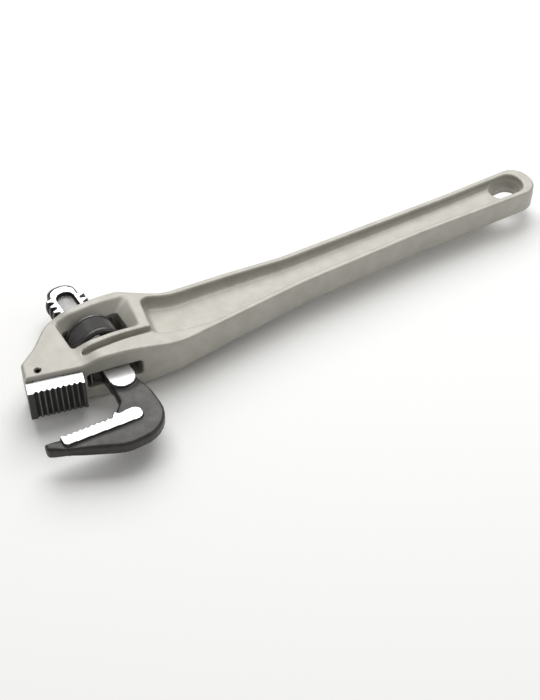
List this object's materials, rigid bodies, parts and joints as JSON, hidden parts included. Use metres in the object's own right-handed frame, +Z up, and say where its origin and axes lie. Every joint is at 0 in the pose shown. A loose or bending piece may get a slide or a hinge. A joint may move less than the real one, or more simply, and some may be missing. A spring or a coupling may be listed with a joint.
{
  "type": "pipe wrench",
  "caption": "Offset pipe wrench with a ribbed light alloy handle, a pinned heel jaw and a threaded hook jaw that a knurled nut opens and closes.",
  "frame": {"origin": "centre of the base of the part's box, with the wrench lying on its side and the jaws partly open", "axes": "+X from the head to the tail of the handle, +Y along the hook jaw's shank from the hook to the shank's end, +Z up through the thickness"},
  "size_m": [0.355, 0.131, 0.0298],
  "materials": {
    "cast_alloy": "satin painted casting",
    "jaw_steel": "black phosphate with ground faces",
    "nut_steel": "dark grey, knurled",
    "spring_steel": "plain"
  },
  "bodies": {
    "head": {"handle": "cast_alloy", "heel_jaw": "jaw_steel", "heel_jaw_pin": "spring_steel", "coil_spring": "spring_steel"},
    "spring_leaf": {"flat_spring": "spring_steel", "spring_rivet": "spring_steel"},
    "hook": {"hook_jaw": "jaw_steel"},
    "nut": {"adjusting_nut": "nut_steel"}
  },
  "joints": [
    {"name": "jaw_rock", "type": "hinge", "parent": "head", "child": "spring_leaf", "pos_m": [-0.12171, 0.0149, 0.0149], "axis": [0, 0, 1], "range_deg": [-3, 0], "stiffness_Nm_per_rad": 0.8, "springref_deg": 2.86},
    {"name": "jaw_travel", "type": "slide", "parent": "spring_leaf", "child": "hook", "axis": [0, -1, 0], "range_m": [-0.022, 0.034]},
    {"name": "nut_turn", "type": "hinge", "parent": "spring_leaf", "child": "nut", "pos_m": [-0.12171, 0.0149, 0.0149], "axis": [0, 1, 0], "range_deg": [-1674, 2584]}
  ],
  "couplings": [
    {"joint": "nut_turn", "follows": "jaw_travel", "rad_per_m": 1322.8}
  ]
}
